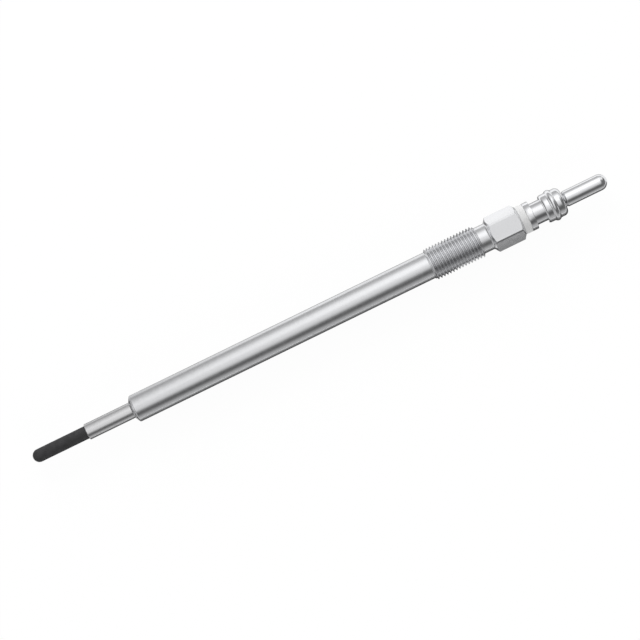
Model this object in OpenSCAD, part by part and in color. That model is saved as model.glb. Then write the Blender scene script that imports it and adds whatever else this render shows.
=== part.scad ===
// Diesel glow plug with a ceramic heater pin, lying along X, in millimetres.
// The origin is on the axis, at the corner where the shank meets the sealing cone.
// +X runs to the terminal, +Z is up, and one flat of the hexagon faces down.

/* [Heater] */
// Diameter of the ceramic pin
heater_d = 4; // [3.4:0.1:4.6]
// Bare length of the pin ahead of its sleeve
heater_bare = 17.7; // [14:0.1:24]
// Length of the pin behind its sleeve, inside the housing
heater_tail = 7; // [6:0.5:12]
// Wall of the support sleeve
sleeve_wall = 0.48; // [0.3:0.02:0.7]
// Length of the sleeve ahead of the shank
sleeve_bare = 15.7; // [8:0.1:24]
// Length of the sleeve pressed into the housing
sleeve_grip = 10; // [6:0.5:16]
// Break on the front edge of the sleeve
sleeve_break = 0.2; // [0.1:0.02:0.28]
// Thickness of the heating loop
loop_d = 0.9; // [0.6:0.05:1.1]
// Distance of each leg of the loop from the axis
loop_offset = 0.9; // [0.75:0.05:1.2]
// Length of the straight legs of the loop
loop_leg = 9; // [4:0.5:14]
// Ceramic left ahead of the loop
loop_cover = 0.8; // [0.6:0.1:1.4]
// Thickness of the embedded leads
lead_d = 0.45; // [0.3:0.05:0.6]
// Diameter of the pads where the leads meet the surface of the pin
pad_d = 0.8; // [0.7:0.05:1.2]
// Distance of the ground pad ahead of the rear end of the sleeve
ground_pad_in = 4; // [2:0.5:6]

/* [Connection] */
// Wall of the contact cap
cap_wall = 0.4; // [0.3:0.05:0.6]
// Length of the pin inside the contact cap
cap_grip = 4; // [3:0.5:5]
// Diameter of the stubs that carry the coil
stub_d = 1.8; // [1.2:0.1:2.2]
// Length of the stubs
stub_len = 2.4; // [1.5:0.1:3.5]
// Wire of the coil
coil_wire = 0.8; // [0.5:0.05:0.9]
// Rise of the coil in one turn
coil_pitch = 1.05; // [1:0.05:1.4]
// Turns of the coil
coil_turns = 8; // [6:1:12]
// Diameter of the centre rod
rod_d = 3.2; // [2.6:0.1:3.8]
// Air between the contact cap and the bore
air_gap = 0.4; // [0.3:0.05:0.6]

/* [Shank] */
// Diameter of the shank
shank_d = 8.4; // [7.8:0.1:9]
// Length of the shank
shank_len = 96.9; // [60:0.1:130]
// Full angle of the sealing cone
seat_angle = 120; // [90:5:130]
// Land between the sealing cone and the sleeve
seat_land = 0.1; // [0.05:0.05:0.3]
// Wall of the spigot at the rear of the shank
spigot_wall = 0.7; // [0.5:0.05:0.9]
// Length of the spigot pressed into the threaded body
spigot_len = 8; // [5:0.5:10]

/* [Threaded body] */
// Outside diameter of the thread
thread_d = 10; // [9.4:0.1:12]
// Length of the thread with its lead-ins
thread_len = 16.4; // [10:0.1:24]
// Rise of the thread in one turn
thread_pitch = 1; // [0.75:0.25:1.5]
// Slope of the thread's lead-ins from the axis
lead_in_angle = 60; // [40:5:70]
// Diameter of the neck between thread and hexagon
neck_d = 8.3; // [7.8:0.1:9]
// Length of the neck
neck_len = 3.2; // [1.5:0.1:6]
// Fillet between neck and hexagon
neck_round = 0.8; // [0.2:0.05:1]
// Hexagon across its flats
hex_af = 10; // [9.4:0.1:12]
// Length of the hexagon
hex_len = 10.3; // [7:0.1:14]
// Diameter of the rear face of the hexagon
hex_face_d = 8.6; // [8.2:0.1:9.2]
// Chamfer angle of the hexagon
hex_chamfer = 35; // [20:1:40]

/* [Insulator] */
// Step on which the O-ring sits
seal_step = 0.6; // [0.4:0.05:0.9]
// Diameter of the collar
collar_d = 8.8; // [8:0.1:9.6]
// Length of the collar
collar_len = 2.4; // [1.5:0.1:4]
// Length of the nose inside the housing
nose_len = 4.2; // [2.5:0.1:6]
// Clearance of the insulator on the rod and in the housing
slip = 0.05; // [0.02:0.01:0.1]

/* [Terminal] */
// Length of the tail inside the insulator
tail_len = 2.5; // [1.5:0.1:4]
// Diameter of the base and of the land
flange_d = 8.8; // [8.4:0.1:9.4]
// Length of the base
base_len = 1.7; // [1:0.1:3]
// Diameter of the groove
groove_d = 6.8; // [6:0.1:7.8]
// Length of the groove
groove_len = 3.5; // [2:0.1:5]
// Length of the land
land_len = 6.6; // [5.8:0.1:8]
// Chamfer at the front of the land
land_chamfer = 0.3; // [0.1:0.05:0.6]
// Rounding at the rear of the land
land_round = 1.7; // [0.6:0.05:1.8]
// Diameter over the latching bead
bead_d = 9.75; // [9.4:0.05:10.2]
// Rounding of the bead
bead_round = 1.1; // [0.8:0.05:1.4]
// Distance of the bead's crest from the front of the land
bead_at = 2.75; // [2:0.05:3.2]
// Diameter of the push-on pin
pin_d = 5; // [4.6:0.1:5.6]
// Length of the push-on pin
pin_len = 14.2; // [11:0.1:18]
// Length of the relief at the root of the push-on pin
relief_len = 0.45; // [0.3:0.05:0.8]
// Depth of the relief
relief_depth = 0.25; // [0.2:0.05:0.4]

/* [Hidden] */
$fn = 96;
edge_break = 0.15;
sleeve_d = heater_d + 2 * sleeve_wall;
cap_d = heater_d + 2 * cap_wall;
bore_d = cap_d + 2 * air_gap;
spigot_d = bore_d + 2 * spigot_wall;
seal_d = bore_d + 2 * seal_step;
ring_d = (seal_d - rod_d) / 2;
hex_corner_r = 0.57 * hex_af;
thread_depth = 0.61 * thread_pitch;
thread_crest = thread_pitch / 8;
thread_flank = 30;
seat_len = (shank_d / 2 - sleeve_d / 2 - seat_land) / tan(seat_angle / 2);

// Stations along the axis
tip_x = -sleeve_bare - heater_bare;
loop_x = tip_x + loop_cover + loop_d / 2 + loop_offset;
leg_end_x = loop_x + loop_leg;
heater_end_x = sleeve_grip + heater_tail;
cap_x = heater_end_x - cap_grip;
cap_end_x = heater_end_x + cap_wall;
coil_len = coil_pitch * coil_turns + coil_wire;
rod_x = cap_end_x + coil_len + 2 * slip;
neck_x = shank_len + thread_len;
hex_x = neck_x + neck_len;
collar_x = hex_x + hex_len;
seal_x = collar_x - nose_len - ring_d;
terminal_x = collar_x + collar_len;
groove_x = terminal_x + base_len;
land_x = groove_x + groove_len;
pin_x = land_x + land_len;
rod_end_x = terminal_x - tail_len;

// Turns an outline, drawn as radius across and station up, about the X axis
module turned() {
  rotate([0, 90, 0])
    rotate_extrude()
      children();
}

// Half outline of a rod from station a to station b
module rod_outline(r, a, b) {
  translate([0, a])
    square([r, b - a]);
}

// Half disc about the axis at station x
module dome_outline(r, x) {
  translate([0, x])
    intersection() {
      circle(r = r);
      translate([0, -r])
        square([r, 2 * r]);
    }
}

// Sweeps a section of [along, radius] points round the axis as a right-hand helix, in short straight steps
module helix_sweep(section, start_x, pitch, turns, steps) {
  sides = len(section);
  rings = round(turns * steps);
  points = [
    for (i = [0:rings], corner = section)
      let (turn = 360 * i / steps)
        [start_x + pitch * i / steps + corner[0], corner[1] * cos(turn), corner[1] * sin(turn)]
  ];
  walls = [
    for (i = [0:rings - 1], j = [0:sides - 1])
      let (k = (j + 1) % sides)
        [i * sides + j, i * sides + k, (i + 1) * sides + k, (i + 1) * sides + j]
  ];
  first_end = [for (j = [sides - 1:-1:0]) j];
  last_end = [for (j = [0:sides - 1]) rings * sides + j];
  polyhedron(points, concat(walls, [first_end, last_end]));
}

// Fillet in the corner between the neck and the front cone of the hexagon
module neck_fillet(r, x) {
  lean = 90 - hex_chamfer;
  foot = neck_round * tan(lean / 2);
  difference() {
    polygon([[r - 0.2, x - foot], [r, x - foot], [r + foot * sin(lean), x + foot * cos(lean)], [r - 0.2, x]]);
    translate([r + neck_round, x - foot])
      circle(r = neck_round);
  }
}

// Tube with the sealing cone in front and a spigot at the rear
module shank_tube() {
  color("silver")
    turned()
      polygon([
        [sleeve_d / 2, -seat_len],
        [sleeve_d / 2 + seat_land, -seat_len],
        [shank_d / 2, 0],
        [shank_d / 2, shank_len],
        [spigot_d / 2, shank_len],
        [spigot_d / 2, shank_len + spigot_len],
        [bore_d / 2, shank_len + spigot_len],
        [bore_d / 2, sleeve_grip],
        [sleeve_d / 2, sleeve_grip]
      ]);
}

// Groove of the thread, which runs on past both ends of the thread and a little past its crests
module thread_groove() {
  run_on = 1.15;
  spare = 0.05;
  mouth = (thread_pitch - thread_crest) / 2;
  root = mouth - thread_depth * tan(thread_flank);
  lip = mouth + spare * tan(thread_flank);
  low_r = thread_d / 2 - thread_depth;
  high_r = thread_d / 2 + spare;
  section = [[lip, high_r], [root, low_r], [-root, low_r], [-lip, high_r]];
  start_x = shank_len - run_on * thread_pitch;
  turns = thread_len / thread_pitch + 2 * run_on;
  helix_sweep(section, start_x, thread_pitch, turns, steps = 24);
}

module threaded_body() {
  front_cone = (hex_corner_r - neck_d / 2) * tan(hex_chamfer);
  rear_cone = (hex_corner_r - hex_face_d / 2) * tan(hex_chamfer);
  front_lead_in = (thread_d - shank_d) / 2 / tan(lead_in_angle);
  rear_lead_in = (thread_d - neck_d) / 2 / tan(lead_in_angle);
  color("silver")
    difference() {
      union() {
        turned() {
          polygon([
            [0, shank_len],
            [shank_d / 2, shank_len],
            [thread_d / 2, shank_len + front_lead_in],
            [thread_d / 2, neck_x - rear_lead_in],
            [neck_d / 2, neck_x],
            [neck_d / 2, hex_x + 1],
            [0, hex_x + 1]
          ]);
          neck_fillet(neck_d / 2, hex_x);
        }
        intersection() {
          translate([hex_x, 0, 0])
            rotate([0, 90, 0])
              rotate([0, 0, 30])
                linear_extrude(hex_len)
                  circle(d = hex_af / cos(30), $fn = 6);
          turned()
            polygon([
              [0, hex_x],
              [neck_d / 2, hex_x],
              [hex_corner_r, hex_x + front_cone],
              [hex_corner_r, collar_x - rear_cone],
              [hex_face_d / 2, collar_x],
              [0, collar_x]
            ]);
        }
      }
      turned()
        polygon([
          [0, shank_len - 1],
          [spigot_d / 2, shank_len - 1],
          [spigot_d / 2, shank_len + spigot_len],
          [bore_d / 2, shank_len + spigot_len],
          [bore_d / 2, seal_x],
          [seal_d / 2, seal_x],
          [seal_d / 2, collar_x + 1],
          [0, collar_x + 1]
        ]);
      thread_groove();
    }
}

module heater_sleeve() {
  color("lightgray")
    turned()
      polygon([
        [heater_d / 2, -sleeve_bare],
        [sleeve_d / 2 - sleeve_break, -sleeve_bare],
        [sleeve_d / 2, -sleeve_bare + sleeve_break],
        [sleeve_d / 2, sleeve_grip],
        [heater_d / 2, sleeve_grip]
      ]);
}

module heater_pin() {
  color("dimgray")
    difference() {
      turned() {
        rod_outline(heater_d / 2, tip_x + heater_d / 2, heater_end_x);
        dome_outline(heater_d / 2, tip_x + heater_d / 2);
      }
      heating_loop();
      lead_path(1, supply_pad_x());
      lead_path(-1, ground_pad_x());
    }
}

module heating_loop() {
  color("black")
    translate([loop_x, 0, 0]) {
      rotate([0, 0, 90])
        rotate_extrude(angle = 180)
          translate([loop_offset, 0])
            circle(d = loop_d);
      for (side = [-1, 1])
        translate([0, side * loop_offset, 0])
          rotate([0, 90, 0])
            cylinder(d = loop_d, h = loop_leg);
    }
}

function supply_pad_x() = heater_end_x - cap_grip / 2;
function ground_pad_x() = sleeve_grip - ground_pad_in;

// A lead from one leg of the loop to a pad, which runs out through the side of the pin
module lead_path(side, pad_x) {
  translate([leg_end_x, side * loop_offset, 0])
    rotate([0, 90, 0])
      cylinder(d = lead_d, h = pad_x - leg_end_x);
  translate([pad_x, side * (loop_offset - pad_d / 2), 0])
    rotate([-90 * side, 0, 0])
      cylinder(d = pad_d, h = heater_d);
}

// The same lead, cut flush with the side of the pin
module embedded_lead(side, pad_x) {
  intersection() {
    lead_path(side, pad_x);
    turned()
      rod_outline(heater_d / 2, tip_x, heater_end_x);
  }
}

module supply_lead() {
  color("gray")
    embedded_lead(1, supply_pad_x());
}

module ground_lead() {
  color("gray")
    embedded_lead(-1, ground_pad_x());
}

module contact_cap() {
  color("gainsboro")
    turned()
      polygon([
        [heater_d / 2, cap_x],
        [cap_d / 2, cap_x],
        [cap_d / 2, cap_end_x],
        [stub_d / 2, cap_end_x],
        [stub_d / 2, cap_end_x + stub_len],
        [0, cap_end_x + stub_len],
        [0, heater_end_x],
        [heater_d / 2, heater_end_x]
      ]);
}

module lead_coil() {
  sides = 8;
  wire_r = coil_wire / 2;
  coil_r = stub_d / 2 + slip + wire_r;
  section = [
    for (j = [0:sides - 1])
      let (around = 360 * j / sides)
        [wire_r * sin(around), coil_r + wire_r * cos(around)]
  ];
  color("silver")
    helix_sweep(section, cap_end_x + slip + wire_r, coil_pitch, coil_turns, steps = 20);
}

module centre_rod() {
  color("silver")
    turned()
      polygon([
        [0, rod_x - stub_len],
        [stub_d / 2, rod_x - stub_len],
        [stub_d / 2, rod_x],
        [rod_d / 2, rod_x],
        [rod_d / 2, rod_end_x],
        [0, rod_end_x]
      ]);
}

module o_ring() {
  color("black")
    turned()
      translate([rod_d / 2 + ring_d / 2, seal_x + ring_d / 2])
        circle(d = ring_d);
}

module insulator() {
  color("white")
    turned()
      polygon([
        [rod_d / 2 + slip, collar_x - nose_len],
        [seal_d / 2 - slip, collar_x - nose_len],
        [seal_d / 2 - slip, collar_x],
        [collar_d / 2 - edge_break, collar_x],
        [collar_d / 2, collar_x + edge_break],
        [collar_d / 2, terminal_x - edge_break],
        [collar_d / 2 - edge_break, terminal_x],
        [rod_d / 2 + slip, terminal_x]
      ]);
}

module terminal() {
  land_end = flange_d / 2 - land_round;
  bead_x = land_x + bead_at;
  dome_x = pin_x + pin_len - pin_d / 2;
  color("lightgray")
    turned() {
      polygon([
        [0, rod_end_x],
        [rod_d / 2, rod_end_x],
        [rod_d / 2, terminal_x],
        [flange_d / 2 - edge_break, terminal_x],
        [flange_d / 2, terminal_x + edge_break],
        [flange_d / 2, groove_x - edge_break],
        [flange_d / 2 - edge_break, groove_x],
        [groove_d / 2, groove_x],
        [groove_d / 2, land_x],
        [flange_d / 2 - land_chamfer, land_x],
        [flange_d / 2, land_x + land_chamfer],
        [flange_d / 2, pin_x - land_round],
        [land_end, pin_x - land_round],
        [land_end, pin_x],
        [pin_d / 2 - relief_depth, pin_x],
        [pin_d / 2 - relief_depth, pin_x + relief_len],
        [pin_d / 2, pin_x + relief_len],
        [pin_d / 2, dome_x],
        [0, dome_x]
      ]);
      translate([land_end, pin_x - land_round])
        circle(r = land_round);
      translate([bead_d / 2 - bead_round, bead_x])
        circle(r = bead_round);
      dome_outline(pin_d / 2, dome_x);
    }
}

shank_tube();
threaded_body();
heater_sleeve();
heater_pin();
heating_loop();
supply_lead();
ground_lead();
contact_cap();
lead_coil();
centre_rod();
o_ring();
insulator();
terminal();
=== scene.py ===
import math

import bmesh
import bpy
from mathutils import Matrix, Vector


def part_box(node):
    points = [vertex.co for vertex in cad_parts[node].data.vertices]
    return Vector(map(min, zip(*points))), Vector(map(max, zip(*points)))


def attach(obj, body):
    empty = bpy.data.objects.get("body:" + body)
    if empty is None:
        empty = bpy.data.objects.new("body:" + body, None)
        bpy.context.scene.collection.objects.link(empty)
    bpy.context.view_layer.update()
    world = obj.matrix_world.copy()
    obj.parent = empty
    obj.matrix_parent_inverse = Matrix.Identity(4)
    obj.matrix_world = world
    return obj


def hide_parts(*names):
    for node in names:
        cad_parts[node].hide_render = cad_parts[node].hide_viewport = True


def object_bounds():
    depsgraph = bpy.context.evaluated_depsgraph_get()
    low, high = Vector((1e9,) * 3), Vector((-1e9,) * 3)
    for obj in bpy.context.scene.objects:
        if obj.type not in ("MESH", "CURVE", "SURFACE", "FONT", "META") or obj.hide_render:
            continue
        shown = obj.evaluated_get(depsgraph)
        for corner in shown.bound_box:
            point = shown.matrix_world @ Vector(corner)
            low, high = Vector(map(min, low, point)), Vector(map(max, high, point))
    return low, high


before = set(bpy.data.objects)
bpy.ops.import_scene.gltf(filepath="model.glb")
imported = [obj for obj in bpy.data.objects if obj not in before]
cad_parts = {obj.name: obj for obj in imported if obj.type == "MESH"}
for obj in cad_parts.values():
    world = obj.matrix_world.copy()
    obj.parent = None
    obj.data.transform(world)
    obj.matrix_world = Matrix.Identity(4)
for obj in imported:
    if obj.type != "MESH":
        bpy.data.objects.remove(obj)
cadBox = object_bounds()
mm = 0.001
degree = math.radians(1)
near = 0.003 * mm  # points closer than this count as one
cutReach = near / 30  # a cut takes up points closer than this


def reach(node):
    # front end, rear end and largest radius of a node, in mm
    low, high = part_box(node)
    radius = max(high.y, high.z, -low.y, -low.z)
    return round(low.x / mm, 3), round(high.x / mm, 3), round(radius / mm, 2)


def arc(x, r, size, start, end, steps):
    # outline points round (x, r), with the angles measured from the axis
    turns = [math.radians(start + (end - start) * i / steps) for i in range(steps + 1)]
    return [(x + size * math.cos(turn), r + size * math.sin(turn)) for turn in turns]


def selectOnly(piece):
    bpy.ops.object.select_all(action="DESELECT")
    piece.select_set(True)
    bpy.context.view_layer.objects.active = piece


def selectEdges(piece, wanted):
    bpy.ops.mesh.select_mode(type="EDGE")
    bpy.ops.mesh.select_all(action="DESELECT")
    mesh = bmesh.from_edit_mesh(piece.data)
    for edge in mesh.edges:
        edge.select_set(wanted(edge))
    bmesh.update_edit_mesh(piece.data)


def roundRing(piece, x, r, size, segments=4):
    # bevels the ring of edges at station x and radius r
    def onRing(edge):
        return all(abs(v.co.x - x * mm) < near and abs(v.co.yz.length - r * mm) < near for v in edge.verts)
    selectEdges(piece, onRing)
    bpy.ops.mesh.bevel(offset=size * mm, segments=segments, profile=0.5, affect="EDGES")


def closePiece():
    bpy.ops.mesh.select_all(action="SELECT")
    bpy.ops.mesh.remove_doubles(threshold=near)
    bpy.ops.mesh.fill_holes(sides=0)
    bpy.ops.mesh.select_all(action="SELECT")
    bpy.ops.mesh.normals_make_consistent(inside=False)


def turnPiece(name, outline, sides, rounds=()):
    # a ring is drawn along X and scaled to each (x, radius) of the outline, in mm
    bpy.ops.object.select_all(action="DESELECT")
    x, r = outline[0]
    bpy.ops.mesh.primitive_circle_add(
        vertices=sides, radius=r * mm, location=(x * mm, 0, 0), rotation=(0, math.pi / 2, 0))
    piece = bpy.context.object
    piece.name = name
    bpy.ops.object.transform_apply(location=True, rotation=True, scale=True)
    bpy.ops.object.mode_set(mode="EDIT")
    bpy.ops.mesh.select_all(action="SELECT")
    for nextX, nextR in outline[1:]:
        bpy.ops.mesh.extrude_region_move(TRANSFORM_OT_translate={"value": ((nextX - x) * mm, 0, 0)})
        grow = nextR / r
        bpy.ops.transform.resize(value=(1, grow, grow), center_override=(nextX * mm, 0, 0))
        x, r = nextX, nextR
    closePiece()
    for ring in rounds:
        roundRing(piece, *ring)
    bpy.ops.object.mode_set(mode="OBJECT")
    return piece


def paint(piece, material):
    piece.data.materials.clear()
    piece.data.materials.append(material)
    return piece


def combine(piece, tool, operation):
    # each face keeps the finish of the piece that it comes from
    selectOnly(piece)
    joint = piece.modifiers.new("joint", "BOOLEAN")
    joint.operation = operation
    joint.solver = "EXACT"
    joint.material_mode = "TRANSFER"
    joint.object = tool
    bpy.ops.object.modifier_apply(modifier=joint.name)
    bpy.data.objects.remove(tool)


def finishPiece(piece, node, smoothAngle=32):
    selectOnly(piece)
    bpy.ops.object.shade_smooth_by_angle(angle=math.radians(smoothAngle))
    even = piece.modifiers.new("even", "WEIGHTED_NORMAL")
    even.keep_sharp = True
    bpy.ops.object.modifier_apply(modifier=even.name)
    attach(piece, "root")
    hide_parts(node)
    print("made", piece.name, len(piece.data.polygons), "faces")


# Effects that the finishes share; heights in mm, and limits are where a mask starts and where it is full

surface = {"ringDetail": 3, "ringHeight": 0.01, "grainHeight": 0.02,
           "patchDetail": 4, "patchRoughness": 0.6, "patchLimits": (0.35, 0.65),
           "edgeLimits": (0.52, 0.62), "cornerShadeLimits": (0.49, 0.42)}


def addNode(tree, kind, settings=None, inputs=None):
    made = tree.nodes.new(kind)
    for key, value in (settings or {}).items():
        setattr(made, key, value)
    for key, value in (inputs or {}).items():
        made.inputs[key].default_value = value
    return made


def addRange(tree, value, inputs):
    spread = addNode(tree, "ShaderNodeMapRange", {}, inputs)
    tree.links.new(value, spread.inputs["Value"])
    return spread.outputs["Result"]


def makeGroup(name, inputs, outputs):
    group = bpy.data.node_groups.new(name, "ShaderNodeTree")
    for title, kind in inputs:
        group.interface.new_socket(title, in_out="INPUT", socket_type=kind)
    for title in outputs:
        group.interface.new_socket(title, in_out="OUTPUT", socket_type="NodeSocketFloat")
    return group, group.nodes.new("NodeGroupInput"), group.nodes.new("NodeGroupOutput")


def makeTurningMarks():
    # fine rings round the axis, left by the turning tool
    group, given, result = makeGroup(
        "turningMarks", [("Vector", "NodeSocketVector"), ("Lines", "NodeSocketFloat")], ["Height"])
    parts = addNode(group, "ShaderNodeSeparateXYZ")
    scaled = addNode(group, "ShaderNodeMath", {"operation": "MULTIPLY"})
    rings = addNode(
        group, "ShaderNodeTexNoise", {"noise_dimensions": "1D"},
        {"Scale": 1, "Detail": surface["ringDetail"]})
    group.links.new(given.outputs["Vector"], parts.inputs["Vector"])
    group.links.new(parts.outputs["X"], scaled.inputs[0])
    group.links.new(given.outputs["Lines"], scaled.inputs[1])
    group.links.new(scaled.outputs["Value"], rings.inputs["W"])
    group.links.new(rings.outputs["Fac"], result.inputs["Height"])
    return group


def makePatches():
    # uneven plating or body colour, in soft patches
    group, given, result = makeGroup(
        "patches", [("Vector", "NodeSocketVector"), ("Scale", "NodeSocketFloat")], ["Mask"])
    clouds = addNode(
        group, "ShaderNodeTexNoise", {},
        {"Detail": surface["patchDetail"], "Roughness": surface["patchRoughness"]})
    start, full = surface["patchLimits"]
    mask = addRange(group, clouds.outputs["Fac"], {"From Min": start, "From Max": full})
    group.links.new(given.outputs["Vector"], clouds.inputs["Vector"])
    group.links.new(given.outputs["Scale"], clouds.inputs["Scale"])
    group.links.new(mask, result.inputs["Mask"])
    return group


def makeEdgeWearAndCornerShade():
    # rubbed edges where the surface is most convex, and painted shade in corners where it is most hollow
    group, given, result = makeGroup(
        "edgeWearAndCornerShade", [("Rubbed", "NodeSocketFloat"), ("CornerShadeAmount", "NodeSocketFloat")], ["Edge", "CornerShade"])
    shape = addNode(group, "ShaderNodeNewGeometry")
    masks = (("Rubbed", "Edge", surface["edgeLimits"]), ("CornerShadeAmount", "CornerShade", surface["cornerShadeLimits"]))
    for amount, mask, (start, full) in masks:
        worn = addRange(group, shape.outputs["Pointiness"], {"From Min": start, "From Max": full})
        scaled = addNode(group, "ShaderNodeMath", {"operation": "MULTIPLY"})
        group.links.new(worn, scaled.inputs[0])
        group.links.new(given.outputs[amount], scaled.inputs[1])
        group.links.new(scaled.outputs["Value"], result.inputs[mask])
    return group


turningMarks = makeTurningMarks()
patches = makePatches()
edgeWearAndCornerShade = makeEdgeWearAndCornerShade()


def placeGroup(tree, group, inputs):
    placed = addNode(tree, "ShaderNodeGroup")
    placed.node_tree = group
    for key, value in inputs.items():
        placed.inputs[key].default_value = value
    return placed


def mixColours(tree, mask, first, second):
    mix = addNode(tree, "ShaderNodeMix", {"data_type": "RGBA"})
    tree.links.new(mask, mix.inputs["Factor"])
    for socket, colour in (("A", first), ("B", second)):
        place = [s for s in mix.inputs if s.name == socket and s.type == "RGBA"][0]
        if isinstance(colour, tuple):
            place.default_value = (*colour, 1)
        else:
            tree.links.new(colour, place)
    return [s for s in mix.outputs if s.type == "RGBA"][0]


# Finishes: tones, roughness limits, the scales of their marks per metre, and the colour and amount of painted
# shade in hollow corners

def startMaterial(name):
    material = bpy.data.materials.new(name)
    material.use_nodes = True
    tree = material.node_tree
    coords = addNode(tree, "ShaderNodeTexCoord")
    return material, tree, tree.nodes["Principled BSDF"], coords.outputs["Object"]


def wearAndShadeColours(tree, shader, tone, finish):
    wearAndShade = placeGroup(tree, edgeWearAndCornerShade, {"Rubbed": finish["rubbed"], "CornerShadeAmount": finish["dullAndShade"]})
    base = mixColours(tree, tone.outputs["Mask"], finish["dark"], finish["light"])
    rubbed = mixColours(tree, wearAndShade.outputs["Edge"], base, finish["edge"])
    # painted shade: the corner colour darkens the places where the surface is most hollow
    colour = mixColours(tree, wearAndShade.outputs["CornerShade"], rubbed, finish["corner"])
    tree.links.new(colour, shader.inputs["Base Color"])


def addGloss(tree, shader, mask, finish):
    gloss = addRange(tree, mask, {"To Min": finish["smooth"], "To Max": finish["rough"]})
    tree.links.new(gloss, shader.inputs["Roughness"])


def addBump(tree, shader, height, depth, distance):
    bump = addNode(tree, "ShaderNodeBump", {}, {"Strength": depth, "Distance": distance * mm})
    tree.links.new(height, bump.inputs["Height"])
    tree.links.new(bump.outputs["Normal"], shader.inputs["Normal"])


def steel(name, finish):
    # turned metal: patchy tone, fine rings and brighter edges
    material, tree, shader, place = startMaterial(name)
    tone = placeGroup(tree, patches, {"Scale": finish["patchScale"]})
    rings = placeGroup(tree, turningMarks, {"Lines": finish["lines"]})
    tree.links.new(place, tone.inputs["Vector"])
    tree.links.new(place, rings.inputs["Vector"])
    wearAndShadeColours(tree, shader, tone, finish)
    addGloss(tree, shader, tone.outputs["Mask"], finish)
    addBump(tree, shader, rings.outputs["Height"], finish["ringDepth"], surface["ringHeight"])
    shader.inputs["Metallic"].default_value = 1
    return material


def dullAndShade(name, finish):
    # ceramic, plastic and rubber: patchy tone with a fine grain
    material, tree, shader, place = startMaterial(name)
    tone = placeGroup(tree, patches, {"Scale": finish["patchScale"]})
    grain = placeGroup(tree, patches, {"Scale": finish["grainScale"]})
    tree.links.new(place, tone.inputs["Vector"])
    tree.links.new(place, grain.inputs["Vector"])
    wearAndShadeColours(tree, shader, tone, finish)
    addGloss(tree, shader, grain.outputs["Mask"], finish)
    addBump(tree, shader, grain.outputs["Mask"], finish["grainDepth"], surface["grainHeight"])
    shader.inputs["Specular IOR Level"].default_value = finish["shine"]
    return material


bodySteel = steel("bodySteel", {
    "dark": (0.74, 0.745, 0.76), "light": (0.78, 0.785, 0.8), "edge": (0.9, 0.9, 0.91),
    "corner": (0.18, 0.18, 0.185), "smooth": 0.2, "rough": 0.25, "lines": 9000, "ringDepth": 0.12,
    "patchScale": 700, "rubbed": 0.2, "dullAndShade": 1.0})
threadSteel = steel("threadSteel", {
    "dark": (0.8, 0.805, 0.82), "light": (0.84, 0.845, 0.86), "edge": (0.95, 0.95, 0.96),
    "corner": (0.2, 0.2, 0.21), "smooth": 0.24, "rough": 0.31, "lines": 9000, "ringDepth": 0.1,
    "patchScale": 700, "rubbed": 0.5, "dullAndShade": 0.65})
sleeveSteel = steel("sleeveSteel", {
    "dark": (0.7, 0.7, 0.71), "light": (0.74, 0.74, 0.75), "edge": (0.88, 0.88, 0.88),
    "corner": (0.3, 0.3, 0.3), "smooth": 0.2, "rough": 0.26, "lines": 11000, "ringDepth": 0.1,
    "patchScale": 800, "rubbed": 0.5, "dullAndShade": 0.3})
terminalSteel = steel("terminalSteel", {
    "dark": (0.76, 0.765, 0.78), "light": (0.8, 0.805, 0.82), "edge": (0.92, 0.92, 0.93),
    "corner": (0.3, 0.3, 0.31), "smooth": 0.12, "rough": 0.17, "lines": 12000, "ringDepth": 0.06,
    "patchScale": 600, "rubbed": 0.3, "dullAndShade": 0.7})
rodSteel = steel("rodSteel", {
    "dark": (0.5, 0.5, 0.51), "light": (0.6, 0.6, 0.61), "edge": (0.75, 0.75, 0.75),
    "corner": (0.3, 0.3, 0.3), "smooth": 0.28, "rough": 0.4, "lines": 7000, "ringDepth": 0.2,
    "patchScale": 500, "rubbed": 0.4, "dullAndShade": 0.3})
contactMetal = steel("contactMetal", {
    "dark": (0.55, 0.54, 0.51), "light": (0.64, 0.63, 0.6), "edge": (0.78, 0.77, 0.74),
    "corner": (0.3, 0.3, 0.28), "smooth": 0.25, "rough": 0.38, "lines": 7000, "ringDepth": 0.1,
    "patchScale": 900, "rubbed": 0.4, "dullAndShade": 0.3})
leadWire = steel("leadWire", {
    "dark": (0.34, 0.34, 0.35), "light": (0.42, 0.42, 0.43), "edge": (0.55, 0.55, 0.56),
    "corner": (0.2, 0.2, 0.2), "smooth": 0.35, "rough": 0.5, "lines": 7000, "ringDepth": 0.1,
    "patchScale": 900, "rubbed": 0.3, "dullAndShade": 0.3})
heaterCeramic = dullAndShade("heaterCeramic", {
    "dark": (0.036, 0.036, 0.037), "light": (0.05, 0.05, 0.052), "edge": (0.06, 0.06, 0.06),
    "corner": (0.01, 0.01, 0.01), "smooth": 0.5, "rough": 0.65, "patchScale": 600, "grainScale": 6000,
    "grainDepth": 0.25, "rubbed": 0.3, "dullAndShade": 0.3, "shine": 0.2})
loopCeramic = dullAndShade("loopCeramic", {
    "dark": (0.02, 0.02, 0.02), "light": (0.03, 0.03, 0.03), "edge": (0.05, 0.05, 0.05),
    "corner": (0.01, 0.01, 0.01), "smooth": 0.6, "rough": 0.75, "patchScale": 900, "grainScale": 7000,
    "grainDepth": 0.2, "rubbed": 0.2, "dullAndShade": 0.3, "shine": 0.4})
whitePlastic = dullAndShade("whitePlastic", {
    "dark": (0.75, 0.75, 0.75), "light": (0.78, 0.78, 0.78), "edge": (0.82, 0.82, 0.82),
    "corner": (0.5, 0.5, 0.5), "smooth": 0.42, "rough": 0.55, "patchScale": 500, "grainScale": 5000,
    "grainDepth": 0.1, "rubbed": 0.3, "dullAndShade": 0, "shine": 0.4})
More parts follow.
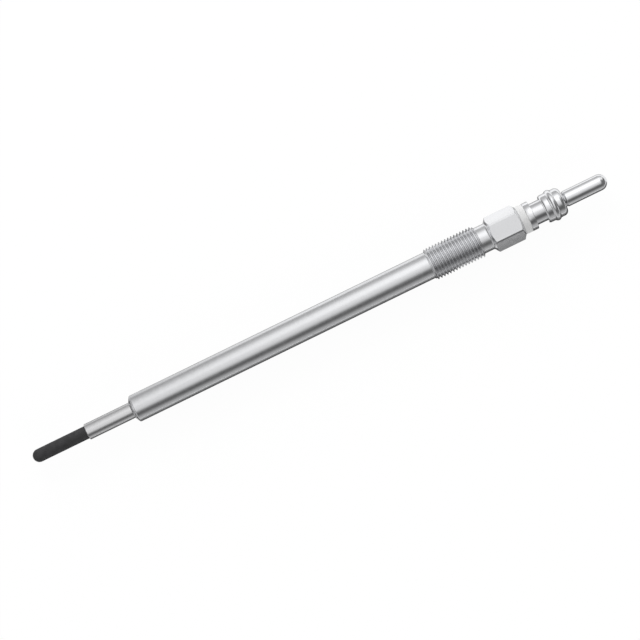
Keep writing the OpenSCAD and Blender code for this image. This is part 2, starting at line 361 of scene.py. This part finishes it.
ringRubber = dullAndShade("ringRubber", {
    "dark": (0.015, 0.015, 0.015), "light": (0.025, 0.025, 0.025), "edge": (0.04, 0.04, 0.04),
    "corner": (0.01, 0.01, 0.01), "smooth": 0.6, "rough": 0.75, "patchScale": 700, "grainScale": 5000,
    "grainDepth": 0.2, "rubbed": 0.2, "dullAndShade": 0.3, "shine": 0.4})
print("materials ready")

# Shank tube with its sealing cone; here and below, sizes are in mm and angles in degrees

shank = {"sides": 192, "cornerAt": 0, "coneLand": 0.1, "spigotRadius": 3.5, "spigotLength": 8,
         "boreRadius": 2.8, "cornerRound": 0.28, "rearRound": 0.08}
sleeveFront, sleeveRear, sleeveRadius = reach("heater_sleeve")
coneFront, spigotRear, shankRadius = reach("shank_tube")
shankRear = spigotRear - shank["spigotLength"]


def makeShankTube():
    outline = [
        (coneFront, sleeveRadius), (coneFront, sleeveRadius + shank["coneLand"]),
        (shank["cornerAt"], shankRadius), (shankRear, shankRadius), (shankRear, shank["spigotRadius"]),
        (spigotRear, shank["spigotRadius"]), (spigotRear, shank["boreRadius"]),
        (sleeveRear, shank["boreRadius"]), (sleeveRear, sleeveRadius), (coneFront, sleeveRadius)]
    rounds = [
        (shank["cornerAt"], shankRadius, shank["cornerRound"]), (shankRear, shankRadius, shank["rearRound"])]
    return turnPiece("shankTube", outline, shank["sides"], rounds)


finishPiece(paint(makeShankTube(), bodySteel), "shank_tube")

# Threaded body: thread, neck and hexagon in one piece

# sunk, overlap and neckTuck are how far hidden ends reach into or past what they join or cut,
# and ringGap is the place of a ring of points that keeps a corner's painted shade close to it
body = {
    "sides": 192, "envelopeSides": 180, "smoothAngle": 25, "sunk": 0.15, "overlap": 1, "ringGap": 0.15,
    "threadRadius": 5.0, "threadLength": 16.4, "pitch": 1.0, "threadDepth": 0.61, "crestFlat": 0.125,
    "rootFlat": 0.17, "crestAt": 97.25, "crestClear": 0.02, "leadInAngle": 60, "spareEnd": 0.3,
    "spareTurns": 2,
    "neckRadius": 4.15, "neckLength": 3.2, "neckRound": 0.8, "neckSteps": 8, "neckTuck": 2,
    "flats": 6, "acrossFlats": 10, "faceRadius": 4.3, "chamferAngle": 35, "edgeBreak": 0.32,
    "sealRadius": 3.4, "sealDepth": 6.0}
bodyFront, hexRear, hexCorner = reach("threaded_body")
neckFront = bodyFront + body["threadLength"]
hexFront = neckFront + body["neckLength"]


def drawThread():
    # one pitch of the thread's profile is drawn as a chain of points, then screwed along the axis
    flank = (body["pitch"] - body["crestFlat"] - body["rootFlat"]) / 2
    steps = [(body["crestFlat"] / 2, 0), (flank, -body["threadDepth"]), (body["rootFlat"], 0),
             (flank, body["threadDepth"]), (body["crestFlat"] / 2, 0)]
    turns = math.ceil(body["threadLength"] / body["pitch"]) + 2 * body["spareTurns"]
    start = body["crestAt"] - body["spareTurns"] * body["pitch"]
    bpy.ops.object.select_all(action="DESELECT")
    bpy.ops.mesh.primitive_plane_add(size=mm, location=(start * mm, body["threadRadius"] * mm, 0))
    thread = bpy.context.object
    bpy.ops.object.transform_apply(location=True, rotation=True, scale=True)
    bpy.ops.object.mode_set(mode="EDIT")
    bpy.ops.mesh.select_mode(type="VERT")
    bpy.ops.mesh.select_all(action="SELECT")
    bpy.ops.mesh.merge(type="CENTER")
    for along, out in steps:
        bpy.ops.mesh.extrude_region_move(TRANSFORM_OT_translate={"value": (along * mm, out * mm, 0)})
    bpy.ops.object.mode_set(mode="OBJECT")
    wind = thread.modifiers.new("wind", "SCREW")
    wind.axis = "X"
    wind.angle = 2 * math.pi
    wind.screw_offset = body["pitch"] * mm
    wind.iterations = turns
    wind.steps = body["sides"]
    wind.render_steps = body["sides"]
    bpy.ops.object.modifier_apply(modifier=wind.name)
    bpy.ops.object.mode_set(mode="EDIT")
    bpy.ops.mesh.select_all(action="SELECT")
    bpy.ops.mesh.remove_doubles(threshold=near)
    spare = body["spareEnd"]
    cuts = ((bodyFront - spare, (-1, 0, 0)), (neckFront + spare, (1, 0, 0)))
    for x, side in cuts:
        bpy.ops.mesh.select_all(action="SELECT")
        bpy.ops.mesh.bisect(
            plane_co=(x * mm, 0, 0), plane_no=side, use_fill=True, clear_outer=True, threshold=cutReach)
    bpy.ops.mesh.select_all(action="SELECT")
    bpy.ops.mesh.normals_make_consistent(inside=False)
    bpy.ops.object.mode_set(mode="OBJECT")
    return thread


def makeEnvelope():
    # what the thread stays within: its crests and the cones at both ends
    lead = math.tan(math.radians(body["leadInAngle"]))
    rootRadius = body["neckRadius"] - body["sunk"]
    clear = body["threadRadius"] + body["crestClear"]
    rearEnd = neckFront + body["sunk"] / lead
    outline = [
        (bodyFront, rootRadius), (bodyFront, shankRadius), (bodyFront + (clear - shankRadius) / lead, clear),
        (rearEnd - (clear - rootRadius) / lead, clear), (rearEnd, rootRadius)]
    return turnPiece("envelope", outline, body["envelopeSides"])


def makeNeck(slope):
    # ends in a round that runs into the hexagon's front cone
    lean = math.pi / 2 - slope
    foot = body["neckRound"] * math.tan(lean / 2)
    fillet = arc(hexFront - foot, body["neckRadius"] + body["neckRound"], body["neckRound"],
                 270, 270 + math.degrees(lean), body["neckSteps"])
    outline = [
        (neckFront - body["neckTuck"], body["neckRadius"]), (neckFront + body["ringGap"], body["neckRadius"]),
        (fillet[0][0] - body["ringGap"], body["neckRadius"]), *fillet,
        (hexFront + body["overlap"], fillet[-1][1])]
    return turnPiece("neck", outline, body["sides"])


def makeHexagon(slope):
    # six-sided bar with its long edges broken, cut by a cone at each end
    bpy.ops.object.select_all(action="DESELECT")
    bar = body["acrossFlats"] / 2 / math.cos(math.pi / body["flats"])
    bpy.ops.mesh.primitive_cylinder_add(
        vertices=body["flats"], radius=bar * mm, depth=(hexRear - hexFront) * mm,
        location=((hexFront + hexRear) / 2 * mm, 0, 0), rotation=(0, math.pi / 2, 0))
    hexagon = bpy.context.object
    bpy.ops.object.transform_apply(location=True, rotation=True, scale=True)
    bpy.ops.object.mode_set(mode="EDIT")
    selectEdges(hexagon, lambda edge: abs(edge.verts[0].co.x - edge.verts[1].co.x) > mm)
    bpy.ops.mesh.bevel(offset=body["edgeBreak"] * mm, segments=1, affect="EDGES")
    bpy.ops.object.mode_set(mode="OBJECT")
    frontRadius = body["neckRadius"] - body["sunk"]
    frontStart = hexFront - body["sunk"] * math.tan(slope)
    frontCone = (hexCorner - frontRadius) * math.tan(slope)
    rearCone = (hexCorner - body["faceRadius"]) * math.tan(slope)
    cones = turnPiece("cones", [
        (frontStart, frontRadius), (frontStart + frontCone, hexCorner),
        (hexRear - rearCone, hexCorner), (hexRear, body["faceRadius"])], body["sides"])
    combine(hexagon, cones, "INTERSECT")
    return hexagon


def makeBore():
    # takes the tube's spigot at the front and the seal and insulator at the rear
    sealFront = hexRear - body["sealDepth"]
    outline = [
        (bodyFront - body["overlap"], shank["spigotRadius"]), (spigotRear, shank["spigotRadius"]),
        (spigotRear, shank["boreRadius"]), (sealFront, shank["boreRadius"]),
        (sealFront, body["sealRadius"]), (hexRear + body["overlap"], body["sealRadius"])]
    return turnPiece("bore", outline, body["sides"])


def makeThreadedBody():
    piece = paint(drawThread(), threadSteel)
    piece.name = "threadedBody"
    slope = math.radians(body["chamferAngle"])
    combine(piece, paint(makeEnvelope(), threadSteel), "INTERSECT")
    combine(piece, paint(makeNeck(slope), bodySteel), "UNION")
    combine(piece, paint(makeHexagon(slope), bodySteel), "UNION")
    combine(piece, paint(makeBore(), bodySteel), "DIFFERENCE")
    return piece


finishPiece(makeThreadedBody(), "threaded_body", body["smoothAngle"])

# Support sleeve and ceramic heater pin

heater = {"sides": 160, "sleeveBreak": 0.16, "domeSteps": 24}
pinFront, pinRear, pinRadius = reach("heater_pin")


def makeHeaterSleeve():
    outline = [(sleeveFront, pinRadius), (sleeveFront, sleeveRadius), (sleeveRear, sleeveRadius),
               (sleeveRear, pinRadius), (sleeveFront, pinRadius)]
    rounds = [(sleeveFront, sleeveRadius, heater["sleeveBreak"])]
    return turnPiece("heaterSleeve", outline, heater["sides"], rounds)


def makeHeaterPin():
    dome = arc(pinFront + pinRadius, 0, pinRadius, 90, 180, heater["domeSteps"])
    return turnPiece("heaterPin", [(pinRear, pinRadius), *dome], heater["sides"])


finishPiece(paint(makeHeaterSleeve(), sleeveSteel), "heater_sleeve")
finishPiece(paint(makeHeaterPin(), heaterCeramic), "heater_pin")

# Insulator ring

insulator = {"sides": 160, "boreRadius": 1.65, "noseRadius": 3.35, "edgeRound": 0.18, "pressedIn": 0.2}
noseFront, collarEnd, collarRadius = reach("insulator")
collarRear = collarEnd - insulator["pressedIn"]


def makeInsulator():
    outline = [(noseFront, insulator["boreRadius"]), (noseFront, insulator["noseRadius"]),
               (hexRear, insulator["noseRadius"]), (hexRear, collarRadius), (collarRear, collarRadius),
               (collarRear, insulator["boreRadius"]), (noseFront, insulator["boreRadius"])]
    rounds = [(x, collarRadius, insulator["edgeRound"]) for x in (hexRear, collarRear)]
    return turnPiece("insulatorRing", outline, insulator["sides"], rounds)


finishPiece(paint(makeInsulator(), whitePlastic), "insulator")

# Terminal with its latching bead and push-on pin

# ringGap and grooveGap are the places of rings of points that keep a corner's painted shade close to it
terminal = {
    "sides": 192, "ringGap": 0.35, "grooveGap": 0.08, "edgeRound": 0.09, "noseSteps": 8, "tailRadius": 1.6,
    "flangeRadius": 4.4, "baseLength": 1.7, "grooveRadius": 3.4, "grooveLength": 3.5,
    "landLength": 6.6, "landNose": 1.05, "landRound": 1.5, "landSteps": 14,
    "beadAt": 3.0, "beadRound": 1.1, "beadSteps": 20, "beadFillet": 0.2,
    "reliefRadius": 2.25, "reliefLength": 0.45, "pinRadius": 2.5, "pinNose": 0.6, "domeSteps": 28}
tailFront, terminalRear, beadRadius = reach("terminal")


def nose(x, r, size):
    # eased front edge of a cylinder: an eighth of a round
    eighth = 45
    centre = x + size * math.sin(math.radians(eighth))
    return arc(centre, r - size, size, 90 + eighth, 90, terminal["noseSteps"])


def makeTerminal():
    grooveFront = collarEnd + terminal["baseLength"]
    landFront = grooveFront + terminal["grooveLength"]
    landRear = landFront + terminal["landLength"]
    pinStart = landRear + terminal["reliefLength"]
    flange = terminal["flangeRadius"]
    groove = terminal["grooveRadius"]
    pin = terminal["pinRadius"]
    beadX = landFront + terminal["beadAt"]
    beadR = beadRadius - terminal["beadRound"]
    lift = math.degrees(math.asin((flange - beadR) / terminal["beadRound"]))
    bead = arc(beadX, beadR, terminal["beadRound"], 180 - lift, lift, terminal["beadSteps"])
    soft = terminal["landRound"]
    shoulder = arc(landRear - soft, flange - soft, soft, 90, 0, terminal["landSteps"])
    dome = arc(terminalRear - pin, 0, pin, 90, 0, terminal["domeSteps"])
    outline = [
        (tailFront, terminal["tailRadius"]), (collarRear, terminal["tailRadius"]), (collarRear, flange),
        (grooveFront, flange), (grooveFront, groove), (grooveFront + terminal["grooveGap"], groove),
        (landFront - terminal["grooveGap"], groove), (landFront, groove),
        *nose(landFront, flange, terminal["landNose"]), (bead[0][0] - terminal["ringGap"], flange),
        *bead, (bead[-1][0] + terminal["ringGap"], flange), *shoulder,
        (landRear, terminal["reliefRadius"]), (pinStart, terminal["reliefRadius"]),
        *nose(pinStart, pin, terminal["pinNose"]), *dome]
    rounds = [
        (collarRear, flange, terminal["edgeRound"]), (grooveFront, flange, terminal["edgeRound"]),
        (*bead[0], terminal["beadFillet"]), (*bead[-1], terminal["beadFillet"])]
    return turnPiece("terminalPost", outline, terminal["sides"], rounds)


finishPiece(paint(makeTerminal(), terminalSteel), "terminal")

# Pieces inside keep their own shapes and take a finish

innerFinishes = {"heating_loop": loopCeramic, "supply_lead": leadWire, "ground_lead": leadWire,
                 "contact_cap": contactMetal, "lead_coil": contactMetal, "centre_rod": rodSteel,
                 "o_ring": ringRubber}
for name, material in innerFinishes.items():
    paint(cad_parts[name], material)
print("inner pieces finished")

# Floor, cards and sky

floor = {"size": 40000, "white": 0.9, "diffuse": 0.06, "glow": 0.95}
floorZ = cadBox[0].z
peakLevel = 1.6  # brightest level that a card or the sky may have


def emptyTree(holder):
    holder.use_nodes = True
    holder.node_tree.nodes.clear()
    return holder.node_tree


def gradeBy(tree, value, levels, unit=1):
    # turns a value into a level, from the levels given at some stations
    low, high = min(levels), max(levels)
    spread = addRange(tree, value, {"From Min": low * unit, "From Max": high * unit})
    ramp = addNode(tree, "ShaderNodeValToRGB")
    stops = ramp.color_ramp.elements
    while len(stops) < len(levels):
        stops.new(position=0.5)  # moved to its station below
    for stop, (place, level) in zip(stops, sorted(levels.items())):
        stop.position = (place - low) / (high - low)
        stop.color = (level / peakLevel,) * 3 + (1,)
    tree.links.new(spread, ramp.inputs["Fac"])
    return ramp.outputs["Color"]


def makeFloor():
    # the camera and reflections see it glow just short of white, and other light meets a plain white sheet
    bpy.ops.object.select_all(action="DESELECT")
    bpy.ops.mesh.primitive_plane_add(size=floor["size"] * mm, location=(0, 0, floorZ))
    sheet = bpy.context.object
    sheet.name = "floor"
    material = bpy.data.materials.new("floorWhite")
    tree = emptyTree(material)
    path = addNode(tree, "ShaderNodeLightPath")
    first = addNode(tree, "ShaderNodeMath", {"operation": "MAXIMUM"})
    seen = addNode(tree, "ShaderNodeMath", {"operation": "MAXIMUM"})
    plain = addNode(tree, "ShaderNodeBsdfDiffuse", {}, {"Color": (floor["white"],) * 3 + (1,)})
    pale = addNode(tree, "ShaderNodeBsdfDiffuse", {}, {"Color": (floor["diffuse"],) * 3 + (1,)})
    glow = addNode(tree, "ShaderNodeEmission", {}, {"Strength": floor["glow"]})
    bright = addNode(tree, "ShaderNodeAddShader")
    mix = addNode(tree, "ShaderNodeMixShader")
    out = addNode(tree, "ShaderNodeOutputMaterial")
    tree.links.new(path.outputs["Is Camera Ray"], first.inputs[0])
    tree.links.new(path.outputs["Is Glossy Ray"], first.inputs[1])
    tree.links.new(first.outputs["Value"], seen.inputs[0])
    tree.links.new(path.outputs["Is Transmission Ray"], seen.inputs[1])
    tree.links.new(pale.outputs["BSDF"], bright.inputs[0])
    tree.links.new(glow.outputs["Emission"], bright.inputs[1])
    tree.links.new(seen.outputs["Value"], mix.inputs["Fac"])
    tree.links.new(plain.outputs["BSDF"], mix.inputs[1])
    tree.links.new(bright.outputs["Shader"], mix.inputs[2])
    tree.links.new(mix.outputs["Shader"], out.inputs["Surface"])
    sheet.data.materials.append(material)


longCard = (-60, 180)  # from before the tip to behind the terminal
# the cards paint the plug's reflections: shadeCard, tipCard and rimCard, dark next to the plug, paint its own
# shadow on the floor as reflected; spotCard paints a dark reflected patch, paleCard paints the reflected
# floor dimmer towards the tip, hexCard, footCard and pinCard paint brighter reflected patches, and the
# upright ones paint grey reflected bands at the horizon
cards = {
    "lift": 0.05, "top": 5,
    # lying on the floor: stations in X, stations in Y, axis of the grade and level at its stations
    "lying": {
        "shadeCard": (longCard, (-24, -4.5), "Y", {-24: 0.3, -14.5: 0.28, -11: 0.13, -4.5: 0.04}),
        "paleCard": ((-60, 58), (8.8, 60), "X", {-10: 0.65, 58: 1.0}),
        "hexCard": ((112, 180), (12, 24), "Y", {12: 1.0, 14: 1.2, 24: 1.2}),
        "tipCard": ((-60, 3), (-4.5, 7), "Y", {-4.5: 0.5, 4: 0.15}),
        "rimCard": ((3, 141), (0, 8.8), "Y", {4.5: 0.25, 7: 0.42, 8.8: 0.95})},
    # small ones on top of them: stations in X, stations in Y and level
    "small": {
        "footCard": ((104, 112.5), (-9, -5.5), 0.9),
        "spotCard": ((103, 112.8), (6, 10), 0.16),
        "pinCard": ((141, 160), (3.5, 8), 0.6)},
    # upright: stations in X, place in Y, height of the foot and level at stations in X
    "upright": {
        "lowCard": (longCard, -24, 2, {-60: 0.5, 180: 0.5}),
        "highCard": (longCard, 24, 0.1, {-20: 0.42, 110: 0.54})}}


def makeCard(name, corners, axis, levels):
    # a sheet with its corners at the points given in mm, which only shows in reflections: its glow is a
    # painted reflection
    bpy.ops.object.select_all(action="DESELECT")
    bpy.ops.mesh.primitive_plane_add()
    sheet = bpy.context.object
    sheet.name = name
    for vertex, corner in zip(sheet.data.vertices, corners):
        vertex.co = [value * mm for value in corner]
    sheet.visible_camera = False
    sheet.visible_diffuse = False
    sheet.visible_shadow = False
    sheet.visible_transmission = False
    material = bpy.data.materials.new(name)
    tree = emptyTree(material)
    coords = addNode(tree, "ShaderNodeTexCoord")
    parts = addNode(tree, "ShaderNodeSeparateXYZ")
    glow = addNode(tree, "ShaderNodeEmission", {}, {"Strength": peakLevel})
    out = addNode(tree, "ShaderNodeOutputMaterial")
    tree.links.new(coords.outputs["Object"], parts.inputs["Vector"])
    tree.links.new(gradeBy(tree, parts.outputs[axis], levels, mm), glow.inputs["Color"])
    tree.links.new(glow.outputs["Emission"], out.inputs["Surface"])
    sheet.data.materials.append(material)


def lying(xs, ys, z):
    return [(x, y, z) for y in ys for x in xs]


def upright(xs, y, zs):
    return [(x, y, z) for z in zs for x in xs]


def makeCards():
    z = floorZ / mm + cards["lift"]
    for name, (xs, ys, axis, levels) in cards["lying"].items():
        makeCard(name, lying(xs, ys, z), axis, levels)
    for name, (xs, ys, level) in cards["small"].items():
        makeCard(name, lying(xs, ys, z + cards["lift"]), "Y", dict.fromkeys(ys, level))
    for name, (xs, y, foot, levels) in cards["upright"].items():
        makeCard(name, upright(xs, y, (z + foot, cards["top"])), "X", levels)


# levels by degrees from straight up, towards -Y; the two ends blend at the middle, over the shift each way,
# and each side then takes over between two values of the direction's X
sky = {
    "tipEnd": {-90: 0.48, -72: 0.54, -50: 0.65, -26: 0.86, -4: 0.85, 14: 0.85, 24: 0.72, 34: 0.32, 46: 0.12,
               60: 0.13, 74: 0.31, 90: 0.5},
    "terminalEnd": {-90: 0.64, -76: 0.68, -62: 1.1, -52: 1.42, -40: 1.5, -24: 1.42, -6: 1.0, 10: 0.78,
                    21: 0.52, 32: 0.21, 45: 0.12, 60: 0.14, 74: 0.33, 90: 0.52},
    "tipSide": {-90: 0.24, -60: 0.19, 18: 0.19, 36: 0.28, 56: 0.5, 90: 0.6},
    "tipFar": {-90: 0.95, 4: 0.95, 30: 0.5, 90: 0.5},
    "terminalSide": {-90: 0.7, -74: 0.85, -50: 1.1, -38: 1.05, -27: 0.55, -10: 0.25, 5: 0.17, 90: 0.16},
    "terminalFar": {-90: 0.17, 90: 0.17},
    "shift": 0.13,
    "sides": {"tipSide": (-0.25, -0.5), "tipFar": (-0.72, -0.84), "terminalSide": (0.25, 0.5),
              "terminalFar": (0.81, 0.92)}}


def makeSky():
    world = bpy.data.worlds.new("sky")
    bpy.context.scene.world = world
    tree = emptyTree(world)
    coords = addNode(tree, "ShaderNodeTexCoord")
    parts = addNode(tree, "ShaderNodeSeparateXYZ")
    flip = addNode(tree, "ShaderNodeMath", {"operation": "MULTIPLY"})
    flip.inputs[1].default_value = -1
    turn = addNode(tree, "ShaderNodeMath", {"operation": "ARCTAN2"})
    tree.links.new(coords.outputs["Generated"], parts.inputs["Vector"])
    tree.links.new(parts.outputs["Y"], flip.inputs[0])
    tree.links.new(flip.outputs["Value"], turn.inputs[0])
    tree.links.new(parts.outputs["Z"], turn.inputs[1])
    angle = turn.outputs["Value"]
    sideways = parts.outputs["X"]
    ends = [gradeBy(tree, angle, sky[end], degree) for end in ("tipEnd", "terminalEnd")]
    shift = addRange(tree, sideways, {"From Min": -sky["shift"], "From Max": sky["shift"]})
    level = mixColours(tree, shift, *ends)
    for side, (start, full) in sky["sides"].items():
        aside = addRange(tree, sideways, {"From Min": start, "From Max": full})
        level = mixColours(tree, aside, level, gradeBy(tree, angle, sky[side], degree))
    light = addNode(tree, "ShaderNodeBackground", {}, {"Strength": peakLevel})
    out = addNode(tree, "ShaderNodeOutputWorld")
    tree.links.new(level, light.inputs["Color"])
    tree.links.new(light.outputs["Background"], out.inputs["Surface"])


# softboxes for the dull surfaces and the shadow, hidden from reflections
softboxes = {"upperBox": {"power": 3.6, "size": 500, "place": (60, 770, 359)},
             "lowerBox": {"power": 2.2, "size": 500, "place": (60, -770, 359)}}


def makeSoftbox(name, power, size, place):
    lamp = bpy.data.lights.new(name, "AREA")
    lamp.energy = power
    lamp.size = size * mm
    box = bpy.data.objects.new(name, lamp)
    bpy.context.scene.collection.objects.link(box)
    x, y, z = place
    box.location = (x * mm, y * mm, z * mm)
    box.rotation_euler = (-math.atan2(y, z), 0, 0)
    box.visible_glossy = False


makeFloor()
makeCards()
makeSky()
for name, settings in softboxes.items():
    makeSoftbox(name, **settings)
print("floor, cards, sky and softboxes ready")

# Camera straight above, turned so that the plug rises to the right

view = {"lens": 135, "sensor": 36, "x": 60.73, "y": -0.38, "height": 710, "turn": -25.99}
camera = bpy.data.cameras.new("camera")
camera.lens = view["lens"]
camera.sensor_width = view["sensor"]
eye = bpy.data.objects.new("camera", camera)
bpy.context.scene.collection.objects.link(eye)
eye.location = [view[key] * mm for key in ("x", "y", "height")]
eye.rotation_euler = (0, 0, math.radians(view["turn"]))
bpy.context.scene.camera = eye
bpy.context.scene.view_settings.view_transform = "Standard"
